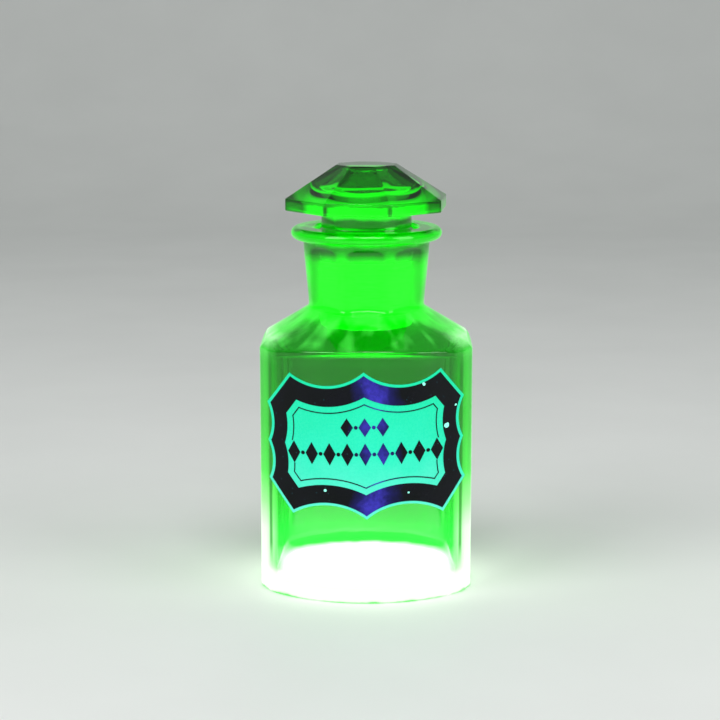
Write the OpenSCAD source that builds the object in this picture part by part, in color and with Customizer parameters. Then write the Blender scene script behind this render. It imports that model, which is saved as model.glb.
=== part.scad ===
// Apothecary powder jar in blown glass, with a hollow ground-glass stopper
// and a label fired onto its bowed front.
// The front faces -Y, and the origin is the middle of the base.

/* [Body] */
// Width across the two flat sides
body_w = 80; // [68:1:98]
// Depth from the middle of the bowed front to the middle of the bowed back
body_d = 80; // [68:1:98]
// Height of the front at its middle, where the shoulder starts
body_h = 95; // [80:0.5:120]
// How far the middle of the front and back stands out past their corners
bow = 15.5; // [12:0.5:18]
// Width of each corner facet, seen from the front
facet_w = 3.8; // [2:0.1:6]
// Depth of each corner facet, seen from the side
facet_d = 8.5; // [4:0.5:10]
// Glass thickness of the walls and shoulder
wall = 3.6; // [3:0.1:6]
// Glass thickness of the base
base_t = 4.5; // [3:0.5:12]

/* [Shoulder] */
// Slope of the shoulder below level, in degrees
shoulder_slope = 31.5; // [25:1:36]
// Width of the rebate along the top of each flat side
rebate_w = 1.8; // [1:0.1:3]
// Height of the upright step of the rebate
rebate_h = 2; // [1:0.1:3]

/* [Neck] */
// Diameter of the neck where it meets the shoulder
neck_foot_d = 43.6; // [41:0.2:50]
// Diameter of the neck under the lip
neck_top_d = 48.2; // [46:0.2:54]
// Height of the neck from the shoulder to the underside of the lip
neck_h = 25.6; // [22:0.2:36]
// Number of flat flutes on the front of the neck, and again on its back
flute_count = 3; // [1:2:3]
// Angle from one flute to the next, in degrees
flute_pitch = 45; // [40:1:50]
// Width of one flute
flute_w = 14.6; // [10:0.2:15]
// Radius of the flute's two top corners
flute_corner = 5; // [2:0.5:6]
// Plain band left between the flutes and the lip
flute_margin = 1.6; // [0.5:0.1:4]

/* [Lip] */
// Diameter of the lip
lip_d = 57; // [54:0.5:66]
// Thickness of the lip, whose edge is fully rounded
lip_t = 4.6; // [3:0.1:6]
// Width and height of the bevel round the mouth
mouth_bevel = 1.3; // [0.3:0.1:1.6]

/* [Ground joint] */
// Diameter of the ground bore at the mouth
joint_d = 39.2; // [36:0.2:40]
// Diameter lost for each millimetre of depth, on the bore and the plug alike
joint_taper = 0.12; // [0.08:0.01:0.14]
// Radial clearance between the plug and the bore
joint_gap = 0.05; // [0.02:0.01:0.1]
// Length of the plug below the mouth
plug_l = 39; // [28:1:42]
// How far the wide end of the plug sits below the mouth
plug_set = 2; // [1.5:0.1:4]
// Glass thickness of the plug
plug_wall = 3.6; // [2.5:0.1:5]

/* [Stopper] */
// Clearance of the shank inside the mouth of the bore, all round
shank_inset = 2.5; // [1.5:0.1:4]
// Height of the straight shank, from the top of its cone to the head
shank_h = 6.6; // [3:0.2:10]
// Height of the cone that narrows the plug to the shank
shank_cone_h = 2; // [1.5:0.1:4]
// Diameter of the head across its eight corners
head_d = 63.4; // [58:0.2:72]
// Height of the head's upright rim
head_rim_h = 4.5; // [3:0.1:8]
// Height of the sloping facets above the rim
head_cap_h = 12.3; // [8:0.1:14]
// Distance across the flat table on top of the head
table_w = 22; // [16:0.2:28]
// Angle that the head is turned to the left, seen from the front, in degrees
head_turn = 6; // [0:0.5:22]
// Widest diameter of the hollow in the head
hollow_d = 37.6; // [36:0.2:46]
// Radius of the rounded turn at the hollow's widest place
hollow_turn_r = 3.2; // [2:0.1:4]
// Glass left under the hollow, over the head's underside
hollow_floor_t = 1.8; // [1.5:0.1:4]
// Glass left over the hollow, under the table
hollow_roof_t = 2.6; // [2:0.1:4]
// Diameter of the hollow where it ends under the table
hollow_top_d = 17; // [12:0.2:22]
// Diameter of the hollow inside the shank
throat_d = 25; // [16:0.2:26]

/* [Label] */
// Height of the label's centre above the base
label_z = 60; // [50:0.5:70]
// Tilt of the label as it was laid on, in degrees, with its right side up
label_tilt = 1.3; // [0:0.1:3]
// Half the height of the dark band at the dips of its upper and lower edges
band_dip_z = 21.4; // [18:0.1:24]
// Radius of the curves that form those dips
band_dip_r = 23.5; // [20:0.5:30]
// Distance of each dip from the centre line
band_dip_x = 14.4; // [12:0.1:16]
// Half the width of the dark band at the hollows of its two sides
band_side_x = 33.7; // [28:0.1:34]
// Radius of the curves that form those hollows
band_side_r = 17.9; // [14:0.1:24]
// Distance of each side hollow above or below the centre
band_side_z = 7.2; // [5:0.1:8]
// Distance of the two upper cut-off corners from the centre
band_upper_corner = 37.9; // [34:0.1:38]
// Distance of the two lower cut-off corners from the centre
band_lower_corner = 36.8; // [34:0.1:38]
// Slope of the cut-off corners, in degrees from level
band_corner_angle = 54; // [45:1:60]
// Width of the dark band along the top and bottom
band_w = 6.7; // [4:0.1:8]
// Width of the dark band along the sides, seen from the front
band_side_w = 5; // [3:0.1:6]
// Pale margin left outside the dark band
margin_w = 1; // [0.8:0.1:2]
// Inset of the fine line from the dark band
line_inset = 2.2; // [1.5:0.1:4]
// Width of the fine line
line_w = 0.4; // [0.3:0.05:0.8]
// Thickness of the pale ground
ground_t = 0.2; // [0.15:0.05:0.3]
// Thickness of what is fired over the ground
print_t = 0.1; // [0.1:0.05:0.2]

/* [Ornament] */
// Height of the lozenges in the upper row
upper_h = 7; // [5:0.1:7]
// Height of the lozenges in the lower row
lower_h = 8.4; // [5:0.1:9]
// Width of one lozenge
lozenge_w = 4.6; // [3:0.1:5]
// Distance from one lozenge to the next
lozenge_pitch = 6.6; // [6:0.1:7]
// Diameter of the dots between the lozenges
dot_d = 1.4; // [1:0.1:1.6]
// Number of lozenges in the upper row
upper_count = 3; // [1:2:5]
// Number of lozenges in the lower row
lower_count = 9; // [5:2:9]
// Height of the upper row above the label's centre
upper_z = 7.1; // [6:0.1:8]
// Height of the lower row above the label's centre
lower_z = -3; // [-5:0.1:-2]

/* [Hidden] */
$fn = 96;
eps = 0.01;

// Plan of the body
half_w = body_w / 2;
half_d = body_d / 2;
corner_x = half_w - facet_w;
corner_y = half_d - bow;
side_y = corner_y - facet_d;
bow_r = (corner_x * corner_x + bow * bow) / (2 * bow);
bow_y = half_d - bow_r;
facet_run = facet_w / facet_d;
facet_far_x = half_w - (half_d - side_y) * facet_run;

// Heights
slope = tan(shoulder_slope);
neck_z = body_h + (half_d - neck_foot_d / 2) * slope;
lip_z = neck_z + neck_h;
mouth_z = lip_z + lip_t;
reach = half_w + half_d;
eave_z = neck_z - (reach - neck_foot_d / 2) * slope;
side_top_z = neck_z - (half_w - rebate_w - neck_foot_d / 2) * slope;

// Ground joint
function bore_r(z) = (joint_d - (mouth_z - z) * joint_taper) / 2;
plug_z = mouth_z - plug_l;
cone_z = mouth_z - plug_set;
shank_z = cone_z + shank_cone_h;
shank_d = joint_d - 2 * shank_inset;
head_z = shank_z + shank_h;
rim_z = head_z + head_rim_h;
top_z = rim_z + head_cap_h;

// Hollow of the body: its shoulder runs parallel to the outside, one wall below it
inner_drop = wall / cos(shoulder_slope);

// The bore is cut from inside the hollow, whose cone is wider than the bore at its top
bore_foot_z = neck_z - inner_drop - wall;

module body_plan(inset) {
    x = half_w - inset;
    far_x = facet_far_x - inset;
    cut_y = side_y - inset * facet_run;
    intersection() {
        polygon([
            [x, cut_y], [far_x, half_d], [-far_x, half_d], [-x, cut_y],
            [-x, -cut_y], [-far_x, -half_d], [far_x, -half_d], [x, -cut_y]
        ]);
        translate([0, bow_y]) circle(r = bow_r - inset, $fn = 180);
        translate([0, -bow_y]) circle(r = bow_r - inset, $fn = 180);
    }
}

// Everything under the sloping shoulder, out past the corners of the body
module shoulder_cone(drop) {
    translate([0, 0, eave_z - drop])
        cylinder(h = neck_z - eave_z, r1 = reach, r2 = neck_foot_d / 2);
    translate([0, 0, -eps])
        cylinder(h = eave_z - drop + 2 * eps, r = reach);
}

// Front view of the body with the rebate along the top of each side
module rebated_sides() {
    step_x = half_w - rebate_w;
    rotate([90, 0, 0])
        linear_extrude(height = 2 * body_d, center = true)
            polygon([
                [half_w, 0], [half_w, side_top_z - rebate_h - rebate_w],
                [step_x, side_top_z - rebate_h], [step_x, neck_z],
                [-step_x, neck_z], [-step_x, side_top_z - rebate_h],
                [-half_w, side_top_z - rebate_h - rebate_w], [-half_w, 0]
            ]);
}

module flute() {
    lean = atan((neck_top_d - neck_foot_d) / 2 / neck_h);
    flat_r = sqrt(pow(neck_foot_d / 2, 2) - pow(flute_w / 2, 2));
    length = neck_h - flute_margin;
    translate([0, -flat_r, neck_z])
        rotate([90 + lean, 0, 0])
            linear_extrude(height = neck_foot_d)
                union() {
                    translate([-flute_w / 2, -flute_w])
                        square([flute_w, flute_w + length - flute_corner]);
                    translate([flute_corner - flute_w / 2, 0])
                        square([flute_w - 2 * flute_corner, length]);
                    for (side = [-1, 1])
                        translate([side * (flute_w / 2 - flute_corner), length - flute_corner])
                            circle(r = flute_corner);
                }
}

module neck_and_lip() {
    lip_r = lip_d / 2;
    difference() {
        translate([0, 0, neck_z - eps])
            cylinder(h = neck_h + 2 * eps, r1 = neck_foot_d / 2, r2 = neck_top_d / 2);
        for (face = [0, 180], i = [0:flute_count - 1])
            rotate([0, 0, face + (i - (flute_count - 1) / 2) * flute_pitch])
                intersection() {
                    flute();
                    translate([0, 0, neck_z])
                        cylinder(h = neck_h, r = lip_d);
                }
    }
    rotate_extrude()
        translate([0, lip_z + lip_t / 2])
            union() {
                translate([0, -lip_t / 2]) square([lip_r - lip_t / 2, lip_t]);
                translate([lip_r - lip_t / 2, 0]) circle(d = lip_t);
            }
}

module bottle() color([0.45, 0.95, 0.35, 0.6]) {
    difference() {
        union() {
            intersection() {
                linear_extrude(height = neck_z) body_plan(0);
                shoulder_cone(0);
                rebated_sides();
            }
            neck_and_lip();
        }
        intersection() {
            translate([0, 0, base_t])
                linear_extrude(height = neck_z) body_plan(wall);
            shoulder_cone(inner_drop);
        }
        translate([0, 0, bore_foot_z])
            cylinder(h = mouth_z - bore_foot_z + eps, r1 = bore_r(bore_foot_z),
                r2 = bore_r(mouth_z + eps));
        translate([0, 0, mouth_z - mouth_bevel])
            cylinder(h = mouth_bevel + eps, r1 = bore_r(mouth_z - mouth_bevel),
                r2 = joint_d / 2 + mouth_bevel);
    }
}

// Eight flat sides and eight sloping facets, turned with the head
module head_outside() {
    across = head_d * cos(180 / 8);
    facet_slope = atan(head_cap_h / ((across - table_w) / 2));
    intersection() {
        translate([0, 0, head_z])
            linear_extrude(height = top_z - head_z)
                rotate(180 / 8) circle(d = head_d, $fn = 8);
        intersection_for (i = [0:7])
            rotate([0, 0, i * 45])
                translate([0, -across / 2, rim_z])
                    rotate([facet_slope, 0, 0])
                        translate([-head_d, -head_d, -2 * head_d])
                            cube([2 * head_d, 4 * head_d, 2 * head_d]);
    }
}

// Bell-shaped hollow, open at the foot of the plug
module stopper_hollow() {
    throat_r = throat_d / 2;
    hollow_r = hollow_d / 2;
    floor_z = head_z + hollow_floor_t;
    roof_z = top_z - hollow_roof_t;
    rotate_extrude()
        union() {
            polygon([
                [0, plug_z - eps],
                [bore_r(plug_z) - joint_gap - plug_wall, plug_z - eps],
                [bore_r(cone_z) - joint_gap - plug_wall, cone_z - plug_wall / 2],
                [throat_r, shank_z],
                [throat_r, floor_z],
                [hollow_r - hollow_turn_r, floor_z],
                [hollow_r, floor_z + hollow_turn_r],
                [hollow_top_d / 2, roof_z],
                [0, roof_z]
            ]);
            translate([hollow_r - hollow_turn_r, floor_z + hollow_turn_r])
                circle(r = hollow_turn_r);
        }
}

module stopper() color([0.3, 0.8, 0.25, 0.8])
    difference() {
        union() {
            translate([0, 0, plug_z])
                cylinder(h = cone_z - plug_z, r1 = bore_r(plug_z) - joint_gap,
                    r2 = bore_r(cone_z) - joint_gap);
            translate([0, 0, cone_z])
                cylinder(h = shank_cone_h, r1 = bore_r(cone_z) - joint_gap, r2 = shank_d / 2);
            translate([0, 0, shank_z])
                cylinder(h = shank_h + eps, d = shank_d);
            rotate([0, 0, -head_turn]) head_outside();
        }
        stopper_hollow();
    }

// Front view of the label. A positive inset draws it smaller all round.
module label_outline(inset, side_inset) {
    half_h = band_dip_z + band_dip_r / 2;
    difference() {
        intersection() {
            square([2 * (half_w - eps), 2 * half_h], center = true);
            intersection_for (turn = [band_corner_angle, 180 - band_corner_angle])
                rotate(turn)
                    translate([-reach, inset - band_upper_corner])
                        square([2 * reach, 2 * reach]);
            intersection_for (turn = [-band_corner_angle, band_corner_angle - 180])
                rotate(turn)
                    translate([-reach, inset - band_lower_corner])
                        square([2 * reach, 2 * reach]);
        }
        for (mx = [-1, 1], mz = [-1, 1]) {
            translate([mx * band_dip_x, mz * (band_dip_z + band_dip_r)])
                circle(r = band_dip_r + inset);
            translate([mx * (band_side_x + band_side_r), mz * band_side_z])
                circle(r = band_side_r + side_inset);
        }
    }
}

// What a flat outline covers on the bowed front, between two heights above the glass
module fired_on(low, high) {
    intersection() {
        translate([0, 0, label_z])
            rotate([90, -label_tilt, 0])
                linear_extrude(height = body_d) children();
        translate([0, -bow_y, 0])
            difference() {
                cylinder(h = body_h, r = bow_r + high, $fn = 180);
                translate([0, 0, -eps])
                    cylinder(h = body_h + 2 * eps, r = bow_r + low, $fn = 180);
            }
    }
}

module label_ground() color([0.88, 0.96, 0.9])
    fired_on(0, ground_t)
        label_outline(-margin_w, -margin_w);

module label_band() color([0.03, 0.03, 0.05])
    fired_on(ground_t, ground_t + print_t)
        difference() {
            label_outline(0, 0);
            label_outline(band_w, band_side_w);
        }

// The fine line stops where the lower row passes through it
module label_line() color([0.05, 0.12, 0.1])
    fired_on(ground_t, ground_t + print_t)
        difference() {
            label_outline(band_w + line_inset, band_side_w + line_inset);
            label_outline(band_w + line_inset + line_w, band_side_w + line_inset + line_w);
            translate([0, lower_z])
                square([body_w, lower_h], center = true);
        }

// A centred row of lozenges with a dot in each gap
module lozenge_row(count, height) {
    for (i = [0:count - 1])
        translate([(i - (count - 1) / 2) * lozenge_pitch, 0])
            polygon([
                [lozenge_w / 2, 0], [0, height / 2], [-lozenge_w / 2, 0], [0, -height / 2]
            ]);
    for (i = [1:count - 1])
        translate([(i - count / 2) * lozenge_pitch, 0])
            circle(d = dot_d, $fn = 24);
}

module label_ornament() color([0.05, 0.04, 0.08])
    fired_on(ground_t, ground_t + print_t) {
        translate([0, upper_z]) lozenge_row(upper_count, upper_h);
        translate([0, lower_z]) lozenge_row(lower_count, lower_h);
    }

bottle();
stopper();
label_ground();
label_band();
label_line();
label_ornament();
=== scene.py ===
"""Visual model of an apothecary powder jar in uranium glass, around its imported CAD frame.

The bottle and the stopper are lofted as closed glass shells, ring by ring up their outside and
back down their inside. Shapes are worked out in millimetres and written to meshes in metres.
"""

import math

import bpy
import numpy as np
from mathutils import Euler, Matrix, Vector, noise


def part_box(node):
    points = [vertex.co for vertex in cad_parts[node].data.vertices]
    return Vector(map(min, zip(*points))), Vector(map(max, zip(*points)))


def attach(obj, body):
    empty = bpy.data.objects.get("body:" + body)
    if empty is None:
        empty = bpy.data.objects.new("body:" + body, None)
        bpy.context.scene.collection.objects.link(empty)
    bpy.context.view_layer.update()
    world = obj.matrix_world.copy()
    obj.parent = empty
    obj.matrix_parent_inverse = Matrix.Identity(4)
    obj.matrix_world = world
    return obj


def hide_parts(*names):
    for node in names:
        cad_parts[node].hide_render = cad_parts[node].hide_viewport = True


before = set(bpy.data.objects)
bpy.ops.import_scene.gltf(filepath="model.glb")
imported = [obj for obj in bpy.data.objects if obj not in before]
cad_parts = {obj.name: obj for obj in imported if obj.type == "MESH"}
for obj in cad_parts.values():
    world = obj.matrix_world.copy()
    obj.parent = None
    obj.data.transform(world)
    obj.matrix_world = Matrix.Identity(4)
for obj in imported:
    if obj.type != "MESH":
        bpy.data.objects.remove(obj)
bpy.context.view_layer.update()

MM = 0.001


def highest_corner(name):
    """The highest corner of a CAD node's box, in millimetres."""
    return np.array(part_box(name)[1]) / MM


# Driving dimensions, from the frame where its boxes give them and repeated from the design elsewhere.
bottle_high = highest_corner("bottle")
stopper_high = highest_corner("stopper")

# Body
HALF_W = bottle_high[0]
HALF_D = bottle_high[1]
BOW = 15.5
FACET_W = 3.8
FACET_D = 8.5
WALL = 3.6
BASE_T = 4.5
FRONT_H = 95.0
HEEL_R = 2.6
FOOT_R = 0.9
PUNT_H = 1.3
FLOOR_CROWN = 0.9

# Shoulder
SLOPE = math.tan(math.radians(31.5))
REBATE_W = 1.8
REBATE_H = 2.0

# Neck and lip
MOUTH_Z = bottle_high[2]
LIP_T = 4.6
LIP_R = 28.5
NECK_FOOT_R = 21.8
NECK_TOP_R = 24.1
FLUTE_PITCH = math.radians(45)
FLUTE_W = 14.6
FLUTE_MARGIN = 1.6
FLUTE_RISE = 5.0
MOUTH_BEVEL = 1.3
LIP_FILLET = 0.9

# Ground joint
JOINT_R = 19.6
TAPER = 0.06
JOINT_GAP = 0.05

# Stopper
TOP_Z = stopper_high[2]
PLUG_L = 39.0
PLUG_SET = 2.0
PLUG_WALL = 3.6
CONE_H = 2.0
SHANK_R = 17.1
SHANK_H = 6.6
HEAD_D = 63.4
RIM_H = 4.5
CAP_H = 12.3
TABLE_W = 22.0
HEAD_TURN = math.radians(6)
HOLLOW_R = 18.8
HOLLOW_TURN_R = 3.2
HOLLOW_FLOOR_T = 1.8
HOLLOW_ROOF_T = 2.6
HOLLOW_TOP_R = 8.5
THROAT_R = 12.5
SHANK_FILLET = 1.2
PLUG_ROUND = 0.9
CROWN_H = 1.4

# Worked out
CORNER_X = HALF_W - FACET_W
CORNER_Y = HALF_D - BOW
SIDE_Y = CORNER_Y - FACET_D
BOW_R = (CORNER_X**2 + BOW**2) / (2 * BOW)
BOW_BACK = BOW_R - HALF_D
NECK_Z = FRONT_H + (HALF_D - NECK_FOOT_R) * SLOPE
LIP_Z = MOUTH_Z - LIP_T
NECK_H = LIP_Z - NECK_Z
SIDE_TOP_Z = NECK_Z - (HALF_W - REBATE_W - NECK_FOOT_R) * SLOPE
INNER_DROP = WALL * math.sqrt(1 + SLOPE**2)
PLUG_Z = MOUTH_Z - PLUG_L
CONE_Z = MOUTH_Z - PLUG_SET
SHANK_Z = CONE_Z + CONE_H
HEAD_Z = SHANK_Z + SHANK_H
RIM_Z = HEAD_Z + RIM_H
HEAD_FLAT = HEAD_D / 2 * math.cos(math.pi / 8)
HOLLOW_FLOOR_Z = HEAD_Z + HOLLOW_FLOOR_T
HOLLOW_ROOF_Z = TOP_Z - HOLLOW_ROOF_T


# Shape helpers

def soft_least(values, sharp):
    """The least of several arrays, with the crossings rounded. A higher sharp rounds less."""
    stack = np.stack(np.broadcast_arrays(*values))
    least = stack.min(axis=0)
    return least - np.log(np.exp(-sharp * (stack - least)).sum(axis=0)) / sharp


def soft_most(values, sharp):
    return -soft_least([-v for v in values], sharp)


def round_angles(count, keen, reach, steps):
    """Evenly spaced angles, with closer ones either side of each keen angle."""
    plain = np.linspace(0, 2 * math.pi, count, endpoint=False)
    close = [k + d for k in keen for d in np.linspace(-reach, reach, steps)]
    every = np.unique(np.round(np.mod(np.concatenate([plain, close]), 2 * math.pi), 6))
    gap = np.diff(np.append(every, every[0] + 2 * math.pi))
    return every[gap > reach / steps / 3]


def waviness(theta, z, seed, size, height):
    """A slow ripple of hand-worked glass, in millimetres."""
    return np.array([
        height * noise.noise(Vector((math.cos(t) * size, math.sin(t) * size, z * 0.02 + seed)))
        for t in theta
    ])


def loft(name, theta, rings, first, last, inside, material):
    """A closed shell through rings of (radius, z), arrays over theta, between two points on the axis.

    Rings go up an outside and down an inside, in either order. inside is the range of rings that line
    a hollow, the first point counting as -1 and the last as len(rings). They are marked, so that the
    glass there can be told from the outside.
    """
    n = len(theta)
    cos, sin = np.cos(theta), np.sin(theta)
    layers = [np.stack([r * cos, r * sin, np.broadcast_to(z, n)], axis=1) for r, z in rings]
    verts = np.concatenate([[[0, 0, first]], *layers, [[0, 0, last]]]) * MM
    faces = []
    for j in range(n):
        k = (j + 1) % n
        faces.append((0, 1 + k, 1 + j))
        for i in range(len(rings) - 1):
            a, b = 1 + i * n, 1 + (i + 1) * n
            faces.append((a + j, a + k, b + k, b + j))
        end = 1 + (len(rings) - 1) * n
        faces.append((end + j, end + k, len(verts) - 1))
    mesh = bpy.data.meshes.new(name)
    mesh.from_pydata(verts.tolist(), [], faces)
    mesh.update()
    mesh.shade_smooth()
    ring_of = (np.arange(len(verts)) - 1) // n
    lining = (ring_of >= inside.start) & (ring_of < inside.stop)
    mesh.attributes.new("lining", "FLOAT", "POINT").data.foreach_set("value", lining.astype(float))
    piece = bpy.data.objects.new(name, mesh)
    bpy.context.scene.collection.objects.link(piece)
    mesh.materials.append(material)
    return piece


# Materials

def new_material(name):
    material = bpy.data.materials.new(name)
    material.use_nodes = True
    tree = material.node_tree
    return material, tree, tree.nodes["Principled BSDF"], tree.nodes["Material Output"]


def node(tree, kind, inputs=(), **settings):
    """Adds a shader node, sets its properties, and links or sets its inputs.

    Each input is given as (index or name, value).
    """
    made = tree.nodes.new(kind)
    for key, value in settings.items():
        setattr(made, key, value)
    for key, value in inputs:
        if isinstance(value, bpy.types.NodeSocket):
            tree.links.new(value, made.inputs[key])
        else:
            made.inputs[key].default_value = value
    return made


def math_node(tree, operation, a, b=None, c=None, clamp=False):
    inputs = [(i, v) for i, v in enumerate((a, b, c)) if v is not None]
    return node(tree, "ShaderNodeMath", inputs, operation=operation, use_clamp=clamp).outputs[0]


def ramp(tree, factor, stops):
    made = node(tree, "ShaderNodeValToRGB", [("Fac", factor)])
    while len(made.color_ramp.elements) < len(stops):
        made.color_ramp.elements.new(0.5)
    for element, (place, colour) in zip(made.color_ramp.elements, stops):
        element.position = place
        element.color = (*colour, 1)
    return made.outputs["Color"]


def object_place(tree):
    """Object coordinates in millimetres, and their x, y and z."""
    coord = node(tree, "ShaderNodeTexCoord").outputs["Object"]
    scaled = node(tree, "ShaderNodeVectorMath", [(0, coord), ("Scale", 1 / MM)], operation="SCALE")
    split = node(tree, "ShaderNodeSeparateXYZ", [(0, scaled.outputs[0])])
    return scaled.outputs[0], split.outputs


# Strength that the painted glow colours below are multiplied by
PAINTED_GLOW_STRENGTH = 6.0

# Painted glow of light from a lamp below the lowest glass, and of the edge that it stands on
PAINTED_WHITE_GLOW = (1.05, 1.15, 1.0)
PAINTED_FOOT_GLOW = (0.1, 0.8, 0.1)

# How the body of the glass bends light, and how fast it takes it up, per metre
GLASS_IOR = 1.5
GLASS_DENSITY = 600.0
# Green that painted shade tints the outside of the glass
PAINTED_SHADE_GREEN = (0.0, 0.26, 0.0)


def within(tree, value, low, high, soft):
    """1 where value lies between low and high, falling to 0 over soft at each end."""
    rise = math_node(tree, "DIVIDE", math_node(tree, "SUBTRACT", value, low), soft, clamp=True)
    fall = math_node(tree, "DIVIDE", math_node(tree, "SUBTRACT", high, value), soft, clamp=True)
    return math_node(tree, "MULTIPLY", rise, fall)


def axis_distance(tree, x, y):
    flat = node(tree, "ShaderNodeCombineXYZ", [(0, x), (1, y)])
    return node(tree, "ShaderNodeVectorMath", [(0, flat.outputs[0])], operation="LENGTH").outputs["Value"]


def blend_colour(tree, factor, a, b):
    made = node(tree, "ShaderNodeMix", [("Factor", factor)], data_type="RGBA")
    for socket, value in ((made.inputs[6], a), (made.inputs[7], b)):
        if isinstance(value, bpy.types.NodeSocket):
            tree.links.new(value, socket)
        else:
            socket.default_value = (*value, 1)
    return made.outputs[2]


def blend_value(tree, factor, a, b):
    made = node(tree, "ShaderNodeMix", [("Factor", factor)], data_type="FLOAT")
    for socket, value in ((made.inputs[2], a), (made.inputs[3], b)):
        if isinstance(value, bpy.types.NodeSocket):
            tree.links.new(value, socket)
        else:
            socket.default_value = value
    return made.outputs[0]


def uranium_glass(name, clear, depth_tint, glow, matt_zone, shade_zone):
    """Green glass with a painted glow of light from a lamp below. clear tints its surface, and depth_tint
    what passes through it.

    glow(tree, place, x, z, r, lining) gives its painted glow, matt_zone(tree, z, r) where its
    surface is ground, and shade_zone(tree, x, z, r) where painted shade darkens its outside, both from 0 to
    1.
    lining is 1 on the surface of a hollow.
    """
    material, tree, bsdf, output = new_material(name)
    place, (x, y, z) = object_place(tree)
    r = axis_distance(tree, x, y)
    lining = node(tree, "ShaderNodeAttribute", attribute_name="lining").outputs["Fac"]
    matt = matt_zone(tree, z, r)
    grit = node(tree, "ShaderNodeTexNoise", [("Vector", place), ("Scale", 2.2), ("Detail", 4.0)])
    smears = node(tree, "ShaderNodeTexNoise", [("Vector", place), ("Scale", 0.12), ("Detail", 5.0)])
    scratches = node(tree, "ShaderNodeMapping", [("Vector", place), ("Scale", (0.25, 0.25, 3.0))])
    grinding = node(tree, "ShaderNodeTexNoise", [("Vector", scratches.outputs[0]), ("Scale", 1.0),
                                                 ("Detail", 3.0)])

    bsdf.inputs["IOR"].default_value = GLASS_IOR
    bsdf.inputs["Specular IOR Level"].default_value = 0.28
    bright = ramp(tree, grinding.outputs["Fac"], [(0.3, (0.0, 0.62, 0.02)), (0.7, (0.02, 0.8, 0.05))])
    outer = math_node(tree, "SUBTRACT", 1.0, lining)
    # Painted shade: the outside takes a darker green where shade_zone asks for it
    shade = math_node(tree, "MULTIPLY", shade_zone(tree, x, z, r), outer)
    tinted = blend_colour(tree, shade, clear, PAINTED_SHADE_GREEN)
    tree.links.new(blend_colour(tree, matt, tinted, bright), bsdf.inputs["Base Color"])
    tree.links.new(blend_value(tree, matt, 1.0, 0.25), bsdf.inputs["Transmission Weight"])

    # Painted glow of light from below, read at heights that wander with the noise
    cloud = math_node(tree, "MULTIPLY_ADD", smears.outputs["Fac"], 3.0, math_node(tree, "SUBTRACT", z, 1.5))
    shine = glow(tree, place, x, cloud, r, lining)
    # The ground joint's painted glow
    ground_painted_glow = ramp(tree, grinding.outputs["Fac"], [(0.3, (0.0, 0.2, 0.0)), (0.7, (0.0, 0.26, 0.004))])
    tree.links.new(blend_colour(tree, matt, shine, ground_painted_glow), bsdf.inputs["Emission Color"])
    bsdf.inputs["Emission Strength"].default_value = PAINTED_GLOW_STRENGTH

    polished = math_node(tree, "MULTIPLY", smears.outputs["Fac"], 0.05)
    frosted = math_node(tree, "MULTIPLY_ADD", grit.outputs["Fac"], 0.2, 0.42)
    tree.links.new(blend_value(tree, matt, polished, frosted), bsdf.inputs["Roughness"])

    ripple = node(tree, "ShaderNodeTexNoise", [("Vector", place), ("Scale", 0.07), ("Detail", 2.0)])
    gritty = math_node(tree, "MULTIPLY", grit.outputs["Fac"], matt)
    relief = math_node(tree, "MULTIPLY_ADD", gritty, 0.12, ripple.outputs["Fac"])
    bump = node(tree, "ShaderNodeBump", [("Height", relief), ("Strength", 0.1), ("Distance", 0.001)])
    tree.links.new(bump.outputs[0], bsdf.inputs["Normal"])

    absorb = node(tree, "ShaderNodeVolumeAbsorption", [("Color", (*depth_tint, 1)),
                                                       ("Density", GLASS_DENSITY)])
    tree.links.new(absorb.outputs[0], output.inputs["Volume"])
    return material


def given_off(red, green, blue):
    """The glow colour that gives off this much light."""
    return red / PAINTED_GLOW_STRENGTH, green / PAINTED_GLOW_STRENGTH, blue / PAINTED_GLOW_STRENGTH


def by_height(tree, z, stops):
    """A glow from stops of (height in millimetres, colour), the colour being what is given off."""
    return ramp(tree, math_node(tree, "DIVIDE", z, TOP_Z),
                [(h / TOP_Z, given_off(*colour)) for h, colour in stops])


# The light from below the jar makes the joint glow up to here
LIT_Z = 127.2


def bore_matt(tree, z, r):
    """The neck's inside, ground down to the foot of the plug."""
    inside = within(tree, r, 0.0, JOINT_R + 0.3, 0.2)
    return math_node(tree, "MULTIPLY", inside, within(tree, z, PLUG_Z - 1, LIT_Z, 5.0))


def plug_matt(tree, z, r):
    """The plug's outside, ground over its length."""
    outside = within(tree, r, JOINT_R - 3.6, JOINT_R + 1, 0.3)
    return math_node(tree, "MULTIPLY", outside, within(tree, z, PLUG_Z - 2, LIT_Z, 5.0))


def flute_depth(tree, z, r):
    """How far the neck's surface lies inside its plain cone, in millimetres."""
    lean = (NECK_TOP_R - NECK_FOOT_R) / NECK_H
    plain = math_node(tree, "MULTIPLY_ADD", z, lean, NECK_FOOT_R - NECK_Z * lean)
    return math_node(tree, "SUBTRACT", plain, r)


def corner_line(tree, across, z):
    """The upright edge where each bowed face meets its facet."""
    edge = within(tree, across, 34.7, 36.4, 0.5)
    return math_node(tree, "MULTIPLY", edge, within(tree, z, 10, FRONT_H, 9))


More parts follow.
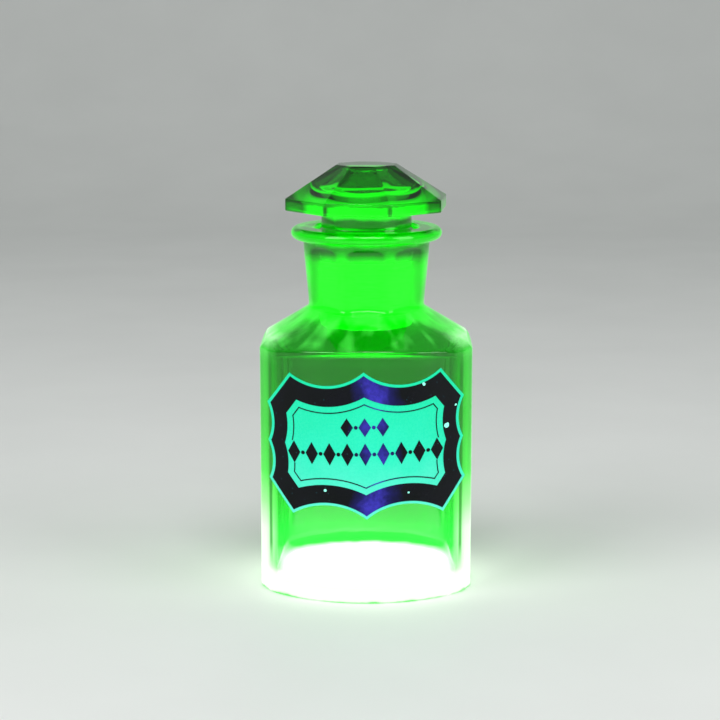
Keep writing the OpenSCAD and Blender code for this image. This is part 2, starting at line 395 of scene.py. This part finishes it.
def bottle_painted_shade(tree, x, z, r):
    """Painted shade: dark crescents at the tops of the flutes, a dark line down each corner, and the dim
    upper body.
    """
    depth = math_node(tree, "SUBTRACT", flute_depth(tree, z, r), 0.12)
    sunk = math_node(tree, "DIVIDE", depth, 0.3, clamp=True)
    fading = within(tree, z, LIP_Z - 7, LIP_Z + 9, 4.5)
    below_arch = within(tree, z, LIP_Z - 9, LIP_Z - 1.3, 0.5)
    crescent = math_node(tree, "MULTIPLY", sunk, math_node(tree, "MULTIPLY", fading, below_arch))
    across = math_node(tree, "ABSOLUTE", x)
    line = corner_line(tree, across, z)
    upper = math_node(tree, "MULTIPLY", within(tree, across, -1, 33, 2),
                      within(tree, z, 62, FRONT_H - 0.5, 12))
    line = math_node(tree, "MULTIPLY", line, 0.8)
    upper = math_node(tree, "MULTIPLY", upper, 0.42)
    return math_node(tree, "MAXIMUM", math_node(tree, "MAXIMUM", crescent, line), upper)


# No painted shade
def no_painted_shade(tree, x, z, r):
    return 0.0


def pillars(tree, z, r):
    """The upright strips left between the flutes, which catch the light."""
    sunk = math_node(tree, "DIVIDE", flute_depth(tree, z, r), 0.45, clamp=True)
    shallow = math_node(tree, "SUBTRACT", 1.0, sunk)
    return math_node(tree, "MULTIPLY", shallow, within(tree, z, NECK_Z + 6, LIP_Z + 1, 8))


def painted_shoulder_streaks(tree, place, z):
    """Painted bright streaks of glow that ray out over the shoulder."""
    heading = node(tree, "ShaderNodeVectorMath", [(0, place), (1, (1.0, 1.0, 0.0))], operation="MULTIPLY")
    heading = node(tree, "ShaderNodeVectorMath", [(0, heading.outputs[0])], operation="NORMALIZE")
    drift = node(tree, "ShaderNodeVectorMath", [(0, place), (1, (0.006, 0.006, 0.03))],
                 operation="MULTIPLY")
    ray = node(tree, "ShaderNodeVectorMath", [(0, heading.outputs[0]), (1, drift.outputs[0])],
               operation="ADD")
    streak = node(tree, "ShaderNodeTexNoise", [("Vector", ray.outputs[0]), ("Scale", 4.5), ("Detail", 1.0)])
    strong = math_node(tree, "MULTIPLY", streak.outputs["Fac"], 4.0)
    streak_mask = math_node(tree, "SUBTRACT", strong, 1.9, clamp=True)
    return math_node(tree, "MULTIPLY", streak_mask, within(tree, z, FRONT_H - 1, NECK_Z, 2.5))


def bottle_outside_painted_glow(tree, place, x, z, r):
    """Painted glow of light from below: white-hot at the base, bright down the flat sides, dim over the
    middle, brighter again at the lip.
    """
    walls = by_height(tree, z, [
        (0.1, PAINTED_FOOT_GLOW), (0.8, PAINTED_WHITE_GLOW), (7.8, (1.0, 1.1, 0.95)), (10.2, (0.2, 0.5, 0.2)),
        (12.4, (0.02, 0.34, 0.05)), (26.0, (0.0, 0.26, 0.03)), (40.0, (0.0, 0.06, 0.0)),
        (88.0, (0.0, 0.02, 0.0)), (97.0, (0.0, 0.12, 0.0)), (102.5, (0.0, 0.1, 0.0)),
        (105.0, (0.01, 0.36, 0.01)), (107.5, (0.0, 0.3, 0.0)), (110.0, (0.0, 0.04, 0.0)),
        (130.5, (0.0, 0.03, 0.0)), (131.6, (0.0, 0.55, 0.0)), (135.0, (0.0, 0.75, 0.0)),
        (136.2, (0.0, 0.1, 0.0)),
    ])
    # Painted glow down the flat sides, with a painted highlight at the top of the body
    sides = by_height(tree, z, [
        (0.1, PAINTED_FOOT_GLOW), (0.8, PAINTED_WHITE_GLOW), (24.0, (0.85, 1.1, 0.8)), (34.0, (0.34, 0.9, 0.3)),
        (46.0, (0.03, 0.62, 0.03)), (64.0, (0.0, 0.46, 0.0)), (88.0, (0.0, 0.4, 0.0)),
        (93.5, (0.05, 0.6, 0.05)), (96.0, (0.5, 1.1, 0.5)), (98.5, (0.08, 0.6, 0.08)),
        (106.0, (0.0, 0.4, 0.0)),
    ])
    across = math_node(tree, "ABSOLUTE", x)
    shoulder = math_node(tree, "MULTIPLY_ADD", z, -1 / SLOPE, shoulder_radius(0))
    from_edge = math_node(tree, "SUBTRACT", across, math_node(tree, "MINIMUM", shoulder, HALF_W))
    at_side = within(tree, from_edge, -7.5, 10, 5)
    low = within(tree, z, -10, NECK_Z, 6)
    outside = blend_colour(tree, math_node(tree, "MULTIPLY", at_side, low), walls, sides)
    # Painted highlights on the strips left between the flutes
    outside = blend_colour(tree, pillars(tree, z, r), outside, given_off(0.0, 0.36, 0.0))
    # Painted shade: a dimmer glow down each corner line
    line = math_node(tree, "MULTIPLY", corner_line(tree, across, z), 0.85)
    outside = blend_colour(tree, line, outside, given_off(0.0, 0.1, 0.0))
    # Painted bright streaks over the shoulder
    return blend_colour(tree, painted_shoulder_streaks(tree, place, z), outside, given_off(0.06, 0.6, 0.06))


def bottle_inside_painted_glow(tree, place, x, z):
    """Painted light from below: a lit disc as if over a lamp, fading up the walls, then bright again up the
    bore.
    """
    walls = by_height(tree, z, [
        (6.2, (0.2, 0.5, 0.2)), (7.6, (0.8, 0.8, 0.8)), (8.8, (0.04, 0.32, 0.05)),
        (24.0, (0.02, 0.3, 0.05)), (45.0, (0.0, 0.05, 0.0)), (86.0, (0.0, 0.01, 0.0)),
        (96.0, (0.0, 0.02, 0.0)), (99.5, (0.0, 0.3, 0.0)), (102.0, (0.0, 0.9, 0.02)),
        (121.0, (0.0, 0.8, 0.0)), (127.0, (0.0, 0.16, 0.0)), (137.0, (0.0, 0.06, 0.0)),
    ])
    spread = node(tree, "ShaderNodeVectorMath", [(0, place), (1, (0.82, 1.2, 0.0))], operation="MULTIPLY")
    spread = node(tree, "ShaderNodeVectorMath", [(0, spread.outputs[0])], operation="LENGTH")
    disc = math_node(tree, "MULTIPLY", within(tree, spread.outputs["Value"], -20, 37, 10),
                     within(tree, z, -2, 8.4, 1.5))
    inside = blend_colour(tree, disc, walls, given_off(22, 2.6, 22))

    # A painted bright line of light runs up the upright corners of the hollow near the base
    corner = within(tree, math_node(tree, "ABSOLUTE", x), 31.6, 33.6, 0.5)
    line = math_node(tree, "MULTIPLY", corner, within(tree, z, 5, 52, 30))
    return blend_colour(tree, line, inside, given_off(1.6, 1.8, 1.6))


# Painted glow of the bottle, outside and in its hollow
def bottle_painted_glow(tree, place, x, z, r, lining):
    outside = bottle_outside_painted_glow(tree, place, x, z, r)
    return blend_colour(tree, lining, outside, bottle_inside_painted_glow(tree, place, x, z))


def stopper_painted_glow(tree, place, x, z, r, lining):
    """Painted glow: bright in the plug, round the turn of the hollow and on the rim, dim over the facets.
    """
    general = by_height(tree, z, [
        (96.0, (0.0, 0.3, 0.0)), (121.0, (0.0, 0.3, 0.0)), (127.0, (0.0, 0.1, 0.0)),
        (136.0, (0.0, 0.05, 0.0)), (141.2, (0.0, 0.06, 0.0)), (142.4, (0.0, 0.1, 0.0)),
        (147.0, (0.0, 0.05, 0.0)), (149.0, (0.0, 0.01, 0.0)), (160.0, (0.0, 0.004, 0.0)),
    ])
    band = within(tree, z, HEAD_Z - 3.8, HOLLOW_FLOOR_Z + 4.2, 1.2)
    turn = math_node(tree, "MULTIPLY", band, within(tree, r, THROAT_R - 1.6, HOLLOW_R + 2, 1.2))
    turn = math_node(tree, "MULTIPLY", turn, lining)
    under = math_node(tree, "MULTIPLY", within(tree, z, HEAD_Z - 1.6, HEAD_Z + 1.6, 1.2),
                      within(tree, r, SHANK_R + 0.2, 25.5, 2.5))
    under = math_node(tree, "MULTIPLY", under, math_node(tree, "SUBTRACT", 1.0, lining))
    lit = math_node(tree, "MAXIMUM", turn, under)
    lit = blend_colour(tree, lit, general, given_off(0.0, 1.5, 0.0))

    # Painted highlights on the rim's upright flats, less so at the far left and right, and not along their
    # corners
    flat = math_node(tree, "MULTIPLY", within(tree, r, HEAD_FLAT - 1.5, HEAD_FLAT + 2.2, 0.35),
                     within(tree, z, HEAD_Z - 0.6, RIM_Z - 0.7, 0.6))
    middle = within(tree, math_node(tree, "ABSOLUTE", x), -3, 23.5, 2)
    facing = math_node(tree, "MULTIPLY_ADD", middle, 0.78, 0.16)
    at_rim = math_node(tree, "MULTIPLY", flat, facing)
    return blend_colour(tree, at_rim, lit, given_off(0.0, 0.95, 0.0))


def white_enamel_painted_light():
    material, tree, bsdf, _ = new_material("label_white")
    place, axes = object_place(tree)
    z = axes["Z"]
    # Painted light from below: the white enamel is coloured turquoise, paler towards the bottom, in soft
    # patches
    height = math_node(tree, "DIVIDE", math_node(tree, "SUBTRACT", z, 30.0), 60.0)
    cloud = node(tree, "ShaderNodeTexNoise", [("Vector", place), ("Scale", 0.11), ("Detail", 4.0)])
    patch = math_node(tree, "SUBTRACT", cloud.outputs["Fac"], 0.5)
    mixed = math_node(tree, "MULTIPLY_ADD", patch, 0.3, height)
    colour = ramp(tree, mixed, [
        (0.0, (0.13, 0.86, 0.66)), (0.45, (0.022, 0.8, 0.5)), (1.0, (0.004, 0.74, 0.36)),
    ])
    tree.links.new(colour, bsdf.inputs["Base Color"])
    # A faint painted glow of the same colour
    tree.links.new(colour, bsdf.inputs["Emission Color"])
    bsdf.inputs["Emission Strength"].default_value = 0.2
    bsdf.inputs["Specular IOR Level"].default_value = 0.2
    orange_peel = node(tree, "ShaderNodeTexNoise", [("Vector", place), ("Scale", 0.9), ("Detail", 3.0)])
    rough = math_node(tree, "MULTIPLY_ADD", orange_peel.outputs["Fac"], 0.15, 0.2)
    tree.links.new(rough, bsdf.inputs["Roughness"])
    bump = node(tree, "ShaderNodeBump", [("Height", orange_peel.outputs["Fac"]), ("Strength", 0.1),
                                         ("Distance", 0.0003)])
    tree.links.new(bump.outputs[0], bsdf.inputs["Normal"])
    return material


# Places where the black is chipped through to the pale ground: x, z and radius
CHIPS = [(30.0, 66.0, 0.95), (21.4, 82.5, 0.6), (33.4, 73.2, 0.4), (-14.7, 42.9, 0.5), (16.0, 42.2, 0.35)]


def chipped(tree, place, x, z):
    """1 inside a chip. Its edge wanders with the noise."""
    ragged = node(tree, "ShaderNodeTexNoise", [("Vector", place), ("Scale", 1.3), ("Detail", 2.0)])
    total = 0.0
    for at_x, at_z, radius in CHIPS:
        here = node(tree, "ShaderNodeCombineXYZ", [(0, x), (2, z)])
        apart = node(tree, "ShaderNodeVectorMath", [(0, here.outputs[0])], operation="DISTANCE")
        apart.inputs[1].default_value = (at_x, 0, at_z)
        edge = math_node(tree, "MULTIPLY_ADD", ragged.outputs["Fac"], radius, radius * 0.5)
        chip = math_node(tree, "LESS_THAN", apart.outputs["Value"], edge)
        total = math_node(tree, "MAXIMUM", chip, total)
    return total


def black_enamel_painted_glare():
    """Glossy black enamel with a painted violet reflection up its middle, a little dust and a few chips,
    the dust and chips given a painted glow.
    """
    material, tree, bsdf, _ = new_material("label_black")
    place, axes = object_place(tree)
    x = axes["X"]
    z = axes["Z"]
    cloud = node(tree, "ShaderNodeTexNoise", [("Vector", place), ("Scale", 0.12), ("Detail", 6.0)])
    fine = node(tree, "ShaderNodeTexNoise", [("Vector", place), ("Scale", 0.7), ("Detail", 5.0)])
    specks = node(tree, "ShaderNodeTexVoronoi", [("Vector", place), ("Scale", 0.45)])
    speck = math_node(tree, "LESS_THAN", specks.outputs["Distance"], 0.09)
    hole = chipped(tree, place, x, z)
    black = ramp(tree, cloud.outputs["Fac"], [(0.3, (0.001, 0.003, 0.003)), (0.7, (0.003, 0.004, 0.008))])
    tree.links.new(blend_colour(tree, hole, black, (0.4, 0.95, 0.8)), bsdf.inputs["Base Color"])

    # Painted reflection: a violet glare of a lamp up the middle of the band
    drift = node(tree, "ShaderNodeTexNoise", [("Vector", place), ("Scale", 0.05), ("Detail", 4.0)])
    centred = math_node(tree, "SUBTRACT", x, 8.0)
    wander = math_node(tree, "MULTIPLY_ADD", drift.outputs["Fac"], 16.0, centred)
    patch = math_node(tree, "MULTIPLY_ADD", fine.outputs["Fac"], 0.5, cloud.outputs["Fac"])
    painted_glare = math_node(tree, "MULTIPLY", within(tree, wander, -7, 14, 9), patch)
    violet = ramp(tree, painted_glare, [
        (0.08, (0.0, 0.0, 0.0)), (0.45, (0.008, 0.007, 0.11)), (0.85, (0.045, 0.035, 0.5)),
    ])
    # Dust specks and chips glow with painted light
    glare_and_dust = blend_colour(tree, math_node(tree, "MULTIPLY", speck, 0.5), violet, (0.02, 0.12, 0.16))
    tree.links.new(blend_colour(tree, hole, glare_and_dust, (0.05, 0.5, 0.35)), bsdf.inputs["Emission Color"])
    bsdf.inputs["Emission Strength"].default_value = 1.0

    rough = math_node(tree, "MULTIPLY_ADD", fine.outputs["Fac"], 0.16, 0.12)
    tree.links.new(rough, bsdf.inputs["Roughness"])
    bsdf.inputs["Specular IOR Level"].default_value = 0.15
    bump = node(tree, "ShaderNodeBump", [("Height", fine.outputs["Fac"]), ("Strength", 0.08),
                                         ("Distance", 0.0003)])
    tree.links.new(bump.outputs[0], bsdf.inputs["Normal"])
    return material


# Bottle

def body_radius(theta, inset=0.0, sharp=2.6):
    """The body's plan as a radius, with rounded edges where the sides, facets and bows meet."""
    c, s = np.abs(np.cos(theta)), np.abs(np.sin(theta))
    side = (HALF_W - inset) / np.maximum(c, 1e-6)
    reach = BOW_R - inset
    bow = -s * BOW_BACK + np.sqrt(reach**2 - (BOW_BACK * c) ** 2)
    length = math.hypot(FACET_W, FACET_D)
    facet_at = (FACET_D * HALF_W + FACET_W * SIDE_Y) / length - inset
    facet = facet_at * length / (FACET_D * c + FACET_W * s)
    return soft_least([side, bow, facet], sharp)


def shoulder_radius(z):
    return NECK_FOOT_R + (NECK_Z - z) / SLOPE


def neck_radius(theta, z):
    """The neck's cone with its flat flutes, each running out in an arch below the lip."""
    plain = NECK_FOOT_R + (z - NECK_Z) * (NECK_TOP_R - NECK_FOOT_R) / NECK_H
    flat = math.sqrt(NECK_FOOT_R**2 - (FLUTE_W / 2) ** 2) + plain - NECK_FOOT_R
    top = LIP_Z - FLUTE_MARGIN
    depth = plain - flat
    past = max(0.0, z - (top - FLUTE_RISE)) / FLUTE_RISE
    flat += depth * past**5
    turn = np.mod(theta, math.pi) - math.pi / 2
    local = turn - FLUTE_PITCH * np.clip(np.round(turn / FLUTE_PITCH), -1, 1)
    return soft_least([np.full_like(theta, plain), flat / np.cos(local)], 5.0)


def rebate_x(z):
    """Half the width of the body seen from the front, over the rebate along the top of its sides."""
    step = SIDE_TOP_Z - REBATE_H
    heights = [step - REBATE_W, step, step + 0.3]
    return np.interp(z, heights, [HALF_W, HALF_W - REBATE_W + 0.3, HALF_W - REBATE_W])


def outer_radius(theta, z):
    """The outside of the body, shoulder and neck."""
    cone = np.full_like(theta, shoulder_radius(z))
    above = soft_most([cone, neck_radius(theta, max(z, NECK_Z))], 1.6)
    side = rebate_x(z) / np.maximum(np.abs(np.cos(theta)), 1e-6)
    side = side if z > SIDE_TOP_Z - REBATE_H - REBATE_W else np.full_like(theta, 1e3)
    return soft_least([body_radius(theta), above, side], 8.0)


def bore_radius(z):
    return JOINT_R - (MOUTH_Z - z) * TAPER


def inner_radius(theta, z):
    """The inside of the neck, shoulder and body."""
    cone = shoulder_radius(z + INNER_DROP)
    above = soft_most([np.full_like(theta, cone), np.full_like(theta, bore_radius(z))], 1.0)
    return soft_least([body_radius(theta, WALL, 0.8), above], 0.9)


def flute_edges():
    half = math.asin(FLUTE_W / 2 / NECK_TOP_R)
    middles = [face + i * FLUTE_PITCH for face in (-math.pi / 2, math.pi / 2) for i in (-1, 0, 1)]
    return [middle + side * half for middle in middles for side in (-1, 1)]


def corner_angles():
    first, second = math.atan2(SIDE_Y, HALF_W), math.atan2(CORNER_Y, CORNER_X)
    return [turn + side * a for turn in (0, math.pi) for side in (-1, 1) for a in (first, second)]


def cavity_ripple(theta, z):
    return waviness(theta, z, 9.0, 1.3, 0.22)


def bottle_outside(theta):
    """Rings from the middle of the underside up to the mouth's bevel."""
    rings = []

    # Underside, pushed up a little in the middle, then the rounded foot
    for share in (0.12, 0.3, 0.5, 0.65, 0.75, 0.82, 0.88, 0.93):
        push = PUNT_H * max(0.0, 1 - (share / 0.88) ** 2) ** 1.5
        rings.append((body_radius(theta, FOOT_R, 1.2) * share, push))
    for a in np.linspace(0, math.pi / 2, 7):
        inset = FOOT_R * (1 - math.sin(a))
        rings.append((body_radius(theta, inset), FOOT_R * (1 - math.cos(a))))

    # Walls, shoulder and neck
    walls = np.linspace(FOOT_R, 84, 22)[1:]
    shoulder = np.arange(84.5, NECK_Z + 3, 0.42)
    neck = np.concatenate([np.linspace(NECK_Z + 3.4, 124, 18), np.linspace(124.4, LIP_Z - LIP_FILLET, 26)])
    for z in (*walls, *shoulder, *neck):
        ripple = waviness(theta, z, 3.0, 1.6, 0.07) if z < NECK_Z else 0.0
        rings.append((outer_radius(theta, z) + ripple, z))

    # Fillet under the lip, the lip's round edge, its top and the mouth's bevel
    neck_top = outer_radius(theta, LIP_Z - LIP_FILLET)
    for a in np.linspace(0.3, math.pi / 2, 4):
        rings.append((neck_top + LIP_FILLET * (1 - math.cos(a)),
                      LIP_Z - LIP_FILLET + LIP_FILLET * math.sin(a)))
    edge_r = LIP_T / 2
    for a in np.linspace(-math.pi / 2, math.pi / 2, 15):
        rings.append((np.full_like(theta, LIP_R - edge_r + edge_r * math.cos(a)),
                      LIP_Z + edge_r + edge_r * math.sin(a)))
    for r in np.linspace(LIP_R - edge_r - 0.8, bore_radius(MOUTH_Z) + MOUTH_BEVEL + 0.3, 4):
        rings.append((np.full_like(theta, r), MOUTH_Z))
    for a in np.linspace(0.2, math.pi / 2, 5):
        r = bore_radius(MOUTH_Z - MOUTH_BEVEL) + MOUTH_BEVEL * (1 - math.sin(a))
        rings.append((np.full_like(theta, r), MOUTH_Z - MOUTH_BEVEL * (1 - math.cos(a))))
    return rings


def bottle_hollow(theta):
    """Rings down the bore, the inner shoulder and the cavity's walls, and in over the heel and floor."""
    rings = []
    bore = np.linspace(MOUTH_Z - MOUTH_BEVEL - 0.8, NECK_Z + 1, 16)
    inner_shoulder = np.arange(NECK_Z + 0.5, 80, -0.55)
    cavity = np.linspace(79, BASE_T + HEEL_R, 18)
    for z in (*bore, *inner_shoulder, *cavity):
        ripple = cavity_ripple(theta, z) if z < NECK_Z - 6 else 0.0
        rings.append((inner_radius(theta, z) + ripple, z))
    foot = inner_radius(theta, BASE_T + HEEL_R) + cavity_ripple(theta, BASE_T + HEEL_R)
    for a in np.linspace(0.12, math.pi / 2, 12):
        rings.append((foot - HEEL_R * (1 - math.cos(a)), BASE_T + HEEL_R * (1 - math.sin(a))))
    floor = foot - HEEL_R
    for share in (0.93, 0.8, 0.62, 0.42, 0.2):
        rings.append((floor * share, BASE_T + FLOOR_CROWN * (1 - share**2)))
    return rings


def make_bottle(material):
    theta = round_angles(192, corner_angles(), math.radians(1.6), 9)
    theta = np.unique(np.concatenate([theta, round_angles(8, flute_edges(), math.radians(1.5), 5)]))
    outside = bottle_outside(theta)
    rings = outside + bottle_hollow(theta)
    lining = range(len(outside), len(rings) + 1)
    return loft("bottle_glass", theta, rings, PUNT_H, BASE_T + FLOOR_CROWN, lining, material)


# Stopper

def head_radius(theta, flat):
    """A regular octagon with the given distance to its sides, turned with the head."""
    pitch = math.pi / 4
    local = np.mod(theta + HEAD_TURN + pitch / 2, pitch) - pitch / 2
    sides = [flat / np.maximum(np.cos(local + k * pitch), 0.3) for k in (-1, 0, 1)]
    return soft_least(sides, 6.0)


def plug_radius(z):
    return bore_radius(z) - JOINT_GAP


def stopper_head(theta):
    """Rings from the table down the sloping facets and the rim, and in under the head."""
    table = TABLE_W / 2
    rings = []
    for share in (0.3, 0.7, 0.95):
        rings.append((head_radius(theta, table * share), TOP_Z))
    run = HEAD_FLAT - table
    for t in (0.004, 0.012, 0.03, *np.linspace(0.08, 0.94, 14), 0.975, 0.99, 0.998):
        rings.append((head_radius(theta, table + run * t), TOP_Z - CAP_H * t))
    for drop in (0.12, 0.35, 0.8, 2.4, RIM_H - 0.8, RIM_H - 0.35):
        rings.append((head_radius(theta, HEAD_FLAT - 0.03), RIM_Z - drop))
    rings.append((head_radius(theta, HEAD_FLAT - 0.2), HEAD_Z + 0.1))
    under = head_radius(theta, HEAD_FLAT - 0.55)
    for share in (0.0, 0.25, 0.5, 0.75, 0.93):
        rings.append((under * (1 - share) + (SHANK_R + SHANK_FILLET) * share, HEAD_Z))
    return rings


def stopper_plug(theta):
    """Rings down the shank from its fillet, the cone and the plug, and round the plug's open foot."""
    ones = np.ones_like(theta)
    rings = []
    for a in np.linspace(0.1, math.pi / 2, 6):
        rings.append((ones * (SHANK_R + SHANK_FILLET * (1 - math.sin(a))),
                      HEAD_Z - SHANK_FILLET * (1 - math.cos(a))))
    for z in (SHANK_Z + 3.0, SHANK_Z + 0.8, SHANK_Z + 0.3):
        rings.append((ones * SHANK_R, z))
    for t in np.linspace(0, 1, 9):
        ease = t * t * (1.6 - 0.6 * t)
        rings.append((ones * (SHANK_R + (plug_radius(CONE_Z) - SHANK_R) * ease),
                      SHANK_Z + 0.1 - (CONE_H + 0.3) * t))
    for z in np.linspace(CONE_Z - 0.6, PLUG_Z + 1, 14):
        rings.append((ones * plug_radius(z), z))
    middle = plug_radius(PLUG_Z) - PLUG_WALL / 2
    for a in np.linspace(0, math.pi, 11)[1:-1]:
        rings.append((ones * (middle + PLUG_WALL / 2 * math.cos(a)),
                      PLUG_Z + PLUG_ROUND - PLUG_ROUND * math.sin(a)))
    return rings


def stopper_hollow(theta):
    """Rings up inside the plug, through the throat, round the widest turn and in under the table."""
    ones = np.ones_like(theta)
    rings = []
    throat_low = CONE_Z - 3
    throat_high = SHANK_Z + 2
    for z in np.linspace(PLUG_Z + 1.5, throat_low, 12):
        rings.append((ones * (plug_radius(z) - PLUG_WALL), z))
    start = plug_radius(throat_low) - PLUG_WALL
    for t in np.linspace(0.1, 1, 10):
        ease = t * t * (3 - 2 * t)
        rings.append((ones * (start + (THROAT_R - start) * ease),
                      throat_low + (throat_high - throat_low) * t))
    for a in np.linspace(0, math.pi / 2, 6):
        rings.append((ones * (THROAT_R + 1 - math.cos(a)), HOLLOW_FLOOR_Z - 1 + math.sin(a)))
    turn_at = HOLLOW_R - HOLLOW_TURN_R
    rings.append((ones * (THROAT_R + turn_at) / 2, HOLLOW_FLOOR_Z))
    leave = math.atan2(turn_at - HOLLOW_TOP_R, HOLLOW_ROOF_Z - HOLLOW_FLOOR_Z - HOLLOW_TURN_R)
    for a in np.linspace(-math.pi / 2, math.pi / 2 - leave, 16):
        rings.append((ones * (turn_at + HOLLOW_TURN_R * math.cos(a)),
                      HOLLOW_FLOOR_Z + HOLLOW_TURN_R + HOLLOW_TURN_R * math.sin(a)))
    start_r, start_z = rings[-1][0][0], rings[-1][1]
    crown_z = HOLLOW_ROOF_Z - CROWN_H
    for t in np.linspace(0.08, 1, 12):
        rings.append((ones * (start_r + (HOLLOW_TOP_R - start_r) * t), start_z + (crown_z - start_z) * t))
    for a in np.linspace(0.15, math.pi / 2, 8):
        rings.append((ones * HOLLOW_TOP_R * math.cos(a * 0.98), crown_z + CROWN_H * math.sin(a)))
    return rings


def rippled(theta, rings):
    """The same rings, those above the hollow's floor and no wider than the hollow with a ripple."""
    made = []
    for r, z in rings:
        near_hollow = r.max() < HOLLOW_R + 0.01 and z > HOLLOW_FLOOR_Z
        ripple = waviness(theta, z, 5.0, 1.2, 0.25) * r / HOLLOW_R if near_hollow else 0.0
        made.append((r + ripple, z))
    return made


def make_stopper(material):
    corners = [(i + 0.5) * math.pi / 4 - HEAD_TURN for i in range(8)]
    theta = round_angles(112, corners, math.radians(1.4), 11)
    hollow = stopper_hollow(theta)
    rings = rippled(theta, stopper_head(theta) + stopper_plug(theta) + hollow)

    # Turned about, so that the shell starts at the roof of the hollow and ends at the table
    lining = range(-1, len(hollow))
    return loft("stopper_glass", theta, rings[::-1], HOLLOW_ROOF_Z, TOP_Z, lining, material)


bottle_material = uranium_glass(
    "bottle_uranium", (0.75, 1.0, 0.75), (0.01, 0.77, 0.01), bottle_painted_glow, bore_matt, bottle_painted_shade)
# The stopper is the same glass as the bottle, tinted darker on its surface as painted shade
stopper_material = uranium_glass(
    "stopper_uranium", (0.24, 0.74, 0.24), (0.01, 0.83, 0.01), stopper_painted_glow, plug_matt, no_painted_shade)

bottle = make_bottle(bottle_material)
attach(bottle, "jar")
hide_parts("bottle")

stopper = make_stopper(stopper_material)
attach(stopper, "stopper")
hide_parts("stopper")

white = white_enamel_painted_light()
black = black_enamel_painted_glare()
for name, material in (
    ("label_ground", white),
    ("label_band", black),
    ("label_line", black),
    ("label_ornament", black),
):
    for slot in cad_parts[name].material_slots:
        slot.material = material


# Floor, backdrop, light and camera

def stage_material(name, colour):
    material, tree, bsdf, _ = new_material(name)
    place, _ = object_place(tree)
    cloud = node(tree, "ShaderNodeTexNoise", [("Vector", place), ("Scale", 0.01), ("Detail", 5.0)])
    dark = tuple(c * 0.96 for c in colour)
    mottled = ramp(tree, cloud.outputs["Fac"], [(0.3, dark), (0.7, colour)])
    tree.links.new(mottled, bsdf.inputs["Base Color"])
    bsdf.inputs["Roughness"].default_value = 0.6
    return material


def make_sweep(material):
    """A floor that curves up into a backdrop well behind the jar."""
    half, front, back, bend, top = 2.5, -2.0, 1.1, 0.8, 2.4
    profile = [(front, 0.0), (back, 0.0)]
    for a in np.linspace(0.1, math.pi / 2, 14):
        profile.append((back + bend * math.sin(a), bend * (1 - math.cos(a))))
    profile.append((back + bend, top))
    verts = [(x, y, z) for y, z in profile for x in (-half, half)]
    faces = [(2 * i, 2 * i + 1, 2 * i + 3, 2 * i + 2) for i in range(len(profile) - 1)]
    mesh = bpy.data.meshes.new("floor_sweep")
    mesh.from_pydata(verts, [], faces)
    mesh.shade_smooth()
    mesh.materials.append(material)
    sweep = bpy.data.objects.new("floor_sweep", mesh)
    bpy.context.scene.collection.objects.link(sweep)


def softbox(name, place, target, size, power):
    light = bpy.data.lights.new(name, "AREA")
    light.shape = "RECTANGLE"
    light.size, light.size_y = size
    light.energy = power
    lamp = bpy.data.objects.new(name, light)
    lamp.location = place
    lamp.rotation_euler = (Vector(target) - Vector(place)).to_track_quat("-Z", "Y").to_euler()
    bpy.context.scene.collection.objects.link(lamp)


make_sweep(stage_material("floor_pale", (0.82, 0.83, 0.82)))
aim = (0.0, 0.0, 0.08)
softbox("key_left", (-0.9, -0.7, 0.9), aim, (0.7, 0.9), 8)
softbox("fill_right", (1.0, -0.5, 0.6), aim, (0.6, 0.9), 5)
softbox("top", (0.1, -0.75, 1.3), aim, (0.8, 0.8), 8)

world = bpy.data.worlds.new("studio")
world.use_nodes = True
world.node_tree.nodes["Background"].inputs["Color"].default_value = (0.9, 0.95, 0.92, 1)
world.node_tree.nodes["Background"].inputs["Strength"].default_value = 0.3
bpy.context.scene.world = world
bpy.context.scene.view_settings.view_transform = "Standard"

# The camera stands off to the jar's right by a small turn, and looks slightly down
ORBIT = math.radians(0.8)
PITCH = math.radians(10.65)
camera_data = bpy.data.cameras.new("camera")
camera_data.lens = 100
camera_data.sensor_width = 36
camera = bpy.data.objects.new("camera", camera_data)
camera.location = Euler((0, 0, ORBIT)).to_matrix() @ Vector((-0.00245, -0.7531, 0.2263))
camera.rotation_euler = (math.pi / 2 - PITCH, 0, ORBIT)
bpy.context.scene.collection.objects.link(camera)
bpy.context.scene.camera = camera
